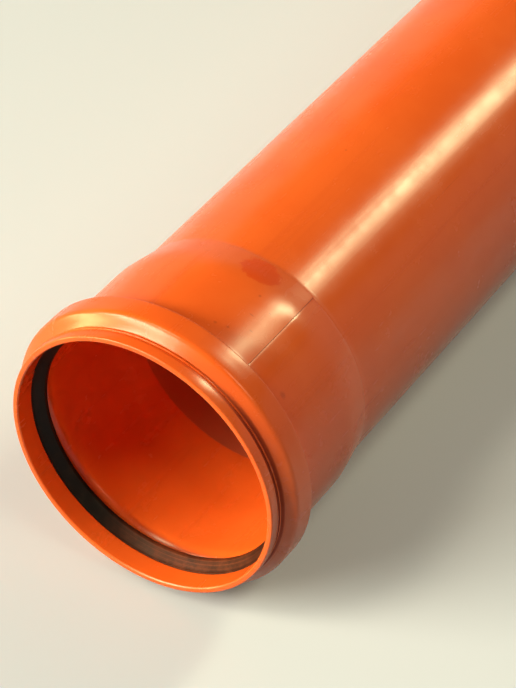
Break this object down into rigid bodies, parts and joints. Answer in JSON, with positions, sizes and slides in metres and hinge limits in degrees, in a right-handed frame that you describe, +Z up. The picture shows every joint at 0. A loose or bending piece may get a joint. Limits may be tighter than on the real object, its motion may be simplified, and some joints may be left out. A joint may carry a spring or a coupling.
{
  "type": "socketed sewer pipe",
  "caption": "Straight plastic sewer pipe with a formed bell socket at one end, a rubber lip seal in the socket's groove and a chamfered spigot at the other end.",
  "frame": {"origin": "on the floor, under the middle of the pipe's bounding box as it lies", "axes": "+Y along the pipe from the socket's mouth to the spigot end, +Z up. The axis dips 0.64 degrees towards the spigot, because the pipe lies on its bead and on the edge of its spigot"},
  "size_m": [0.1834, 1.0862, 0.1835],
  "materials": {
    "polypropylene": "glossy orange",
    "seal_rubber": "satin black"
  },
  "bodies": {
    "root": {"pipe": "polypropylene", "sealing_ring": "seal_rubber"}
  },
  "joints": []
}
